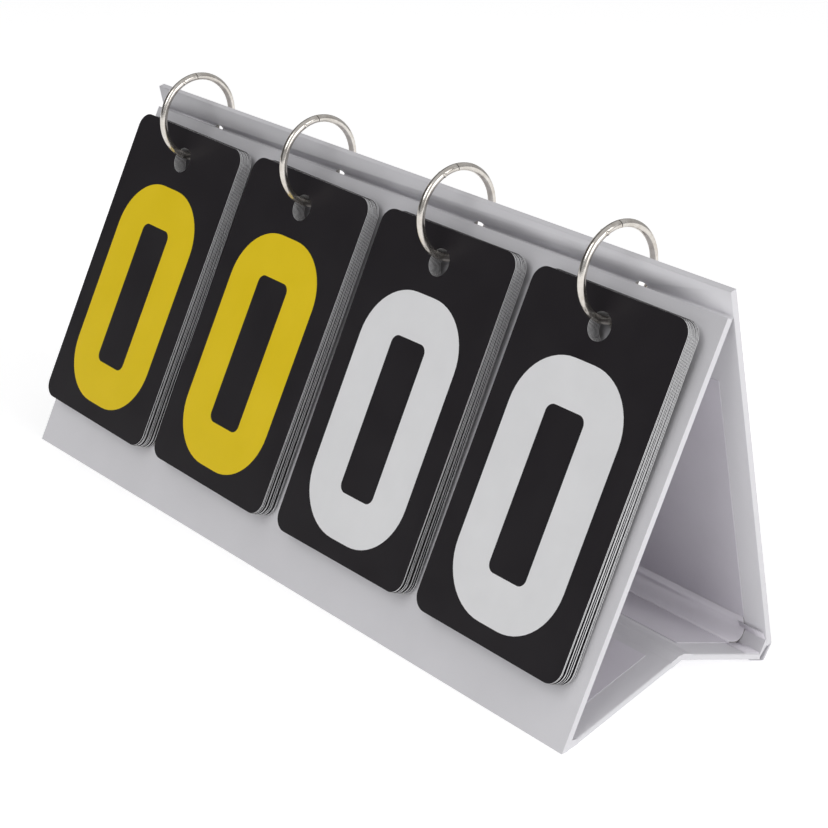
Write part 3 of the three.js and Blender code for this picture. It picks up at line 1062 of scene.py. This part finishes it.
def soft_box(name, place, aim, size, power):
    """A large square light turned towards its aim."""
    data = bpy.data.lights.new(name, "AREA")
    data.size = size
    data.energy = power
    lamp = bpy.data.objects.new(name, data)
    bpy.context.collection.objects.link(lamp)
    lamp.location = place
    lamp.rotation_euler = (Vector(aim) - Vector(place)).to_track_quat("-Z", "Y").to_euler()


class SCOREBOARD_OT_stage(bpy.types.Operator):
    """Make the floor, the studio light and the camera"""
    bl_idname = "scoreboard.stage"
    bl_label = "Stage"

    def execute(self, context):
        stage = context.scene.board_stage
        finish = Finish("Pale floor", 0.9)
        marks = group_node(finish.nodes, soft_marks, Scale=1.5)
        finish.blend(marks.outputs["Mask"], (0.93, 0.93, 0.93), (0.95, 0.95, 0.95))
        finish.shader.inputs["Emission Color"].default_value = (1, 1, 1, 1)
        finish.shader.inputs["Emission Strength"].default_value = stage.floor_glow
        bm = bmesh.new()
        bmesh.ops.create_grid(bm, x_segments=8, y_segments=8, size=4)
        bmesh.ops.translate(bm, verts=bm.verts, vec=(0, 0, -0.1 * MM))
        floor = object_from("floor", bm, [finish.material])
        studio_world(stage.room)
        soft_box("key", (0.3, -1.5, 1.6), (0, 0, 0.05), 1.2, stage.key)
        soft_box("side", (1.8, 0.3, 0.7), (0, 0, 0.05), 1.2, stage.side)
        context.scene.view_settings.view_transform = "Standard"
        self.camera(context, stage)
        return {"FINISHED"}

    def camera(self, context, stage):
        """Looks at the aim from the set angles."""
        back = Vector((
            math.sin(stage.azimuth) * math.cos(stage.elevation),
            -math.cos(stage.azimuth) * math.cos(stage.elevation),
            math.sin(stage.elevation)))
        data = bpy.data.cameras.new("camera")
        data.lens = stage.lens
        data.sensor_width = 36
        cam = bpy.data.objects.new("camera", data)
        context.collection.objects.link(cam)
        cam.location = Vector(stage.aim) + back * stage.distance
        cam.rotation_euler = (-back).to_track_quat("-Z", "Y").to_euler()
        context.scene.camera = cam


class SCOREBOARD_PT_sidebar(bpy.types.Panel):
    """Sizes, colours and build steps of the scoring board"""
    bl_label = "Scoring Board"
    bl_space_type = "VIEW_3D"
    bl_region_type = "UI"
    bl_category = "Scoring Board"

    def draw(self, context):
        scene = context.scene
        for settings in (scene.board_looks, scene.board_cards, scene.board_rings, scene.board_stage):
            box = self.layout.box()
            for name in settings.__annotations__:
                box.prop(settings, name)
        for operator in OPERATORS:
            self.layout.operator(operator.bl_idname)


SETTINGS = {
    "board_looks": BoardLooks, "board_cards": CardSizes,
    "board_rings": RingSizes, "board_stage": StageSettings,
}
OPERATORS = (
    SCOREBOARD_OT_panels, SCOREBOARD_OT_folds, SCOREBOARD_OT_cards,
    SCOREBOARD_OT_rings, SCOREBOARD_OT_stage,
)


def register():
    """Makes the settings, steps and panel known to Blender."""
    for name, settings in SETTINGS.items():
        bpy.utils.register_class(settings)
        setattr(bpy.types.Scene, name, bpy.props.PointerProperty(type=settings))
    for cls in (*OPERATORS, SCOREBOARD_PT_sidebar):
        bpy.utils.register_class(cls)


def unregister():
    """Takes them away again."""
    for cls in (SCOREBOARD_PT_sidebar, *reversed(OPERATORS)):
        bpy.utils.unregister_class(cls)
    for name, settings in reversed(SETTINGS.items()):
        delattr(bpy.types.Scene, name)
        bpy.utils.unregister_class(settings)


def main():
    """Builds every piece in order."""
    register()
    bpy.ops.scoreboard.panels()
    bpy.ops.scoreboard.folds()
    bpy.ops.scoreboard.cards()
    bpy.ops.scoreboard.rings()
    bpy.ops.scoreboard.stage()


if __name__ == "__main__":
    main()
